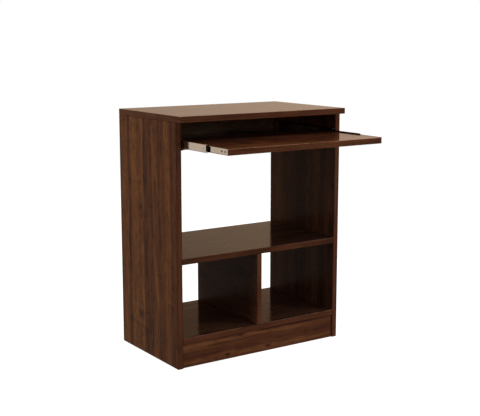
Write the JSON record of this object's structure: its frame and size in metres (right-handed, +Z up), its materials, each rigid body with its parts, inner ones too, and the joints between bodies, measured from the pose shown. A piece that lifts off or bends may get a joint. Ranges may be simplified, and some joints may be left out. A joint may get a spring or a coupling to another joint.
{
  "type": "study desk",
  "caption": "Narrow walnut-finish study desk with open knee space, middle shelf, divided lower shelf, plinth and a pull-out keyboard tray on ball-bearing slides.",
  "frame": {"origin": "on the floor, at the centre of the footprint of the desk with its tray drawn out as it stands", "axes": "+Z up; the front, where the tray comes out, faces -Y; +X is to the right as seen from the front"},
  "size_m": [0.6096, 0.5876, 0.762],
  "materials": {
    "walnut_laminate": "semi-gloss walnut laminate with matching edge bands",
    "zinc_steel": "bright zinc plated",
    "black_plastic": "moulded, fine texture",
    "diecast_zinc": "die-cast, dull",
    "beech_dowel": "bare beech"
  },
  "bodies": {
    "cabinet": {"back_rail": "walnut_laminate", "bottom_bolt_left_front": "diecast_zinc", "bottom_bolt_left_rear": "diecast_zinc", "bottom_bolt_right_front": "diecast_zinc", "bottom_bolt_right_rear": "diecast_zinc", "bottom_cam_left_front": "diecast_zinc", "bottom_cam_left_rear": "diecast_zinc", "bottom_cam_right_front": "diecast_zinc", "bottom_cam_right_rear": "diecast_zinc", "bottom_shelf": "walnut_laminate", "center_divider": "walnut_laminate", "divider_dowel": "beech_dowel", "divider_screw_front": "zinc_steel", "divider_screw_rear": "zinc_steel", "front_plinth": "walnut_laminate", "left_cabinet_screw_front": "zinc_steel", "left_cabinet_screw_rear": "zinc_steel", "left_side_panel": "walnut_laminate", "left_slide_cabinet_member": "zinc_steel", "middle_shelf": "walnut_laminate", "plinth_dowel_left": "beech_dowel", "plinth_dowel_right": "beech_dowel", "rail_dowel_left": "beech_dowel", "rail_dowel_right": "beech_dowel", "right_cabinet_screw_front": "zinc_steel", "right_cabinet_screw_rear": "zinc_steel", "right_side_panel": "walnut_laminate", "right_slide_cabinet_member": "zinc_steel", "shelf_bolt_left_front": "diecast_zinc", "shelf_bolt_left_rear": "diecast_zinc", "shelf_bolt_right_front": "diecast_zinc", "shelf_bolt_right_rear": "diecast_zinc", "shelf_cam_left_front": "diecast_zinc", "shelf_cam_left_rear": "diecast_zinc", "shelf_cam_right_front": "diecast_zinc", "shelf_cam_right_rear": "diecast_zinc", "top_bolt_left_front": "diecast_zinc", "top_bolt_left_rear": "diecast_zinc", "top_bolt_right_front": "diecast_zinc", "top_bolt_right_rear": "diecast_zinc", "top_cam_left_front": "diecast_zinc", "top_cam_left_rear": "diecast_zinc", "top_cam_right_front": "diecast_zinc", "top_cam_right_rear": "diecast_zinc", "top_panel": "walnut_laminate"},
    "tray": {"keyboard_tray": "walnut_laminate", "left_slide_drawer_member": "zinc_steel", "right_slide_drawer_member": "zinc_steel", "left_tray_screw_front": "zinc_steel", "left_tray_screw_rear": "zinc_steel", "right_tray_screw_front": "zinc_steel", "right_tray_screw_rear": "zinc_steel"},
    "left_intermediate": {"left_slide_intermediate_member": "zinc_steel"},
    "left_outer_cage": {"left_outer_ball_cage": "zinc_steel"},
    "left_inner_cage": {"left_inner_ball_cage": "zinc_steel"},
    "left_lever": {"left_release_lever": "black_plastic"},
    "right_intermediate": {"right_slide_intermediate_member": "zinc_steel"},
    "right_outer_cage": {"right_outer_ball_cage": "zinc_steel"},
    "right_inner_cage": {"right_inner_ball_cage": "zinc_steel"},
    "right_lever": {"right_release_lever": "black_plastic"}
  },
  "joints": [
    {"name": "tray_slide", "type": "slide", "parent": "cabinet", "child": "tray", "axis": [0, -1, 0], "range_m": [-0.233, 0.067]},
    {"name": "left_intermediate_slide", "type": "slide", "parent": "cabinet", "child": "left_intermediate", "axis": [0, -1, 0], "range_m": [-0.132, 0.0383]},
    {"name": "left_outer_cage_slide", "type": "slide", "parent": "cabinet", "child": "left_outer_cage", "axis": [0, -1, 0], "range_m": [-0.0663, 0.0194]},
    {"name": "left_inner_cage_slide", "type": "slide", "parent": "cabinet", "child": "left_inner_cage", "axis": [0, -1, 0], "range_m": [-0.1828, 0.0529]},
    {"name": "right_intermediate_slide", "type": "slide", "parent": "cabinet", "child": "right_intermediate", "axis": [0, -1, 0], "range_m": [-0.132, 0.0383]},
    {"name": "right_outer_cage_slide", "type": "slide", "parent": "cabinet", "child": "right_outer_cage", "axis": [0, -1, 0], "range_m": [-0.0663, 0.0194]},
    {"name": "right_inner_cage_slide", "type": "slide", "parent": "cabinet", "child": "right_inner_cage", "axis": [0, -1, 0], "range_m": [-0.1828, 0.0529]},
    {"name": "left_lever_rock", "type": "hinge", "parent": "tray", "child": "left_lever", "pos_m": [-0.2798, -0.1808, 0.6786], "axis": [1, 0, 0], "range_deg": [0, 4], "stiffness_Nm_per_rad": 0.6},
    {"name": "right_lever_rock", "type": "hinge", "parent": "tray", "child": "right_lever", "pos_m": [0.2798, -0.1808, 0.6786], "axis": [-1, 0, 0], "range_deg": [0, 4], "stiffness_Nm_per_rad": 0.6}
  ],
  "couplings": [
    {"joint": "left_intermediate_slide", "follows": "tray_slide", "ratio": 0.5644},
    {"joint": "left_outer_cage_slide", "follows": "tray_slide", "ratio": 0.2822},
    {"joint": "left_inner_cage_slide", "follows": "tray_slide", "ratio": 0.7822},
    {"joint": "right_intermediate_slide", "follows": "tray_slide", "ratio": 0.5644},
    {"joint": "right_outer_cage_slide", "follows": "tray_slide", "ratio": 0.2822},
    {"joint": "right_inner_cage_slide", "follows": "tray_slide", "ratio": 0.7822}
  ]
}
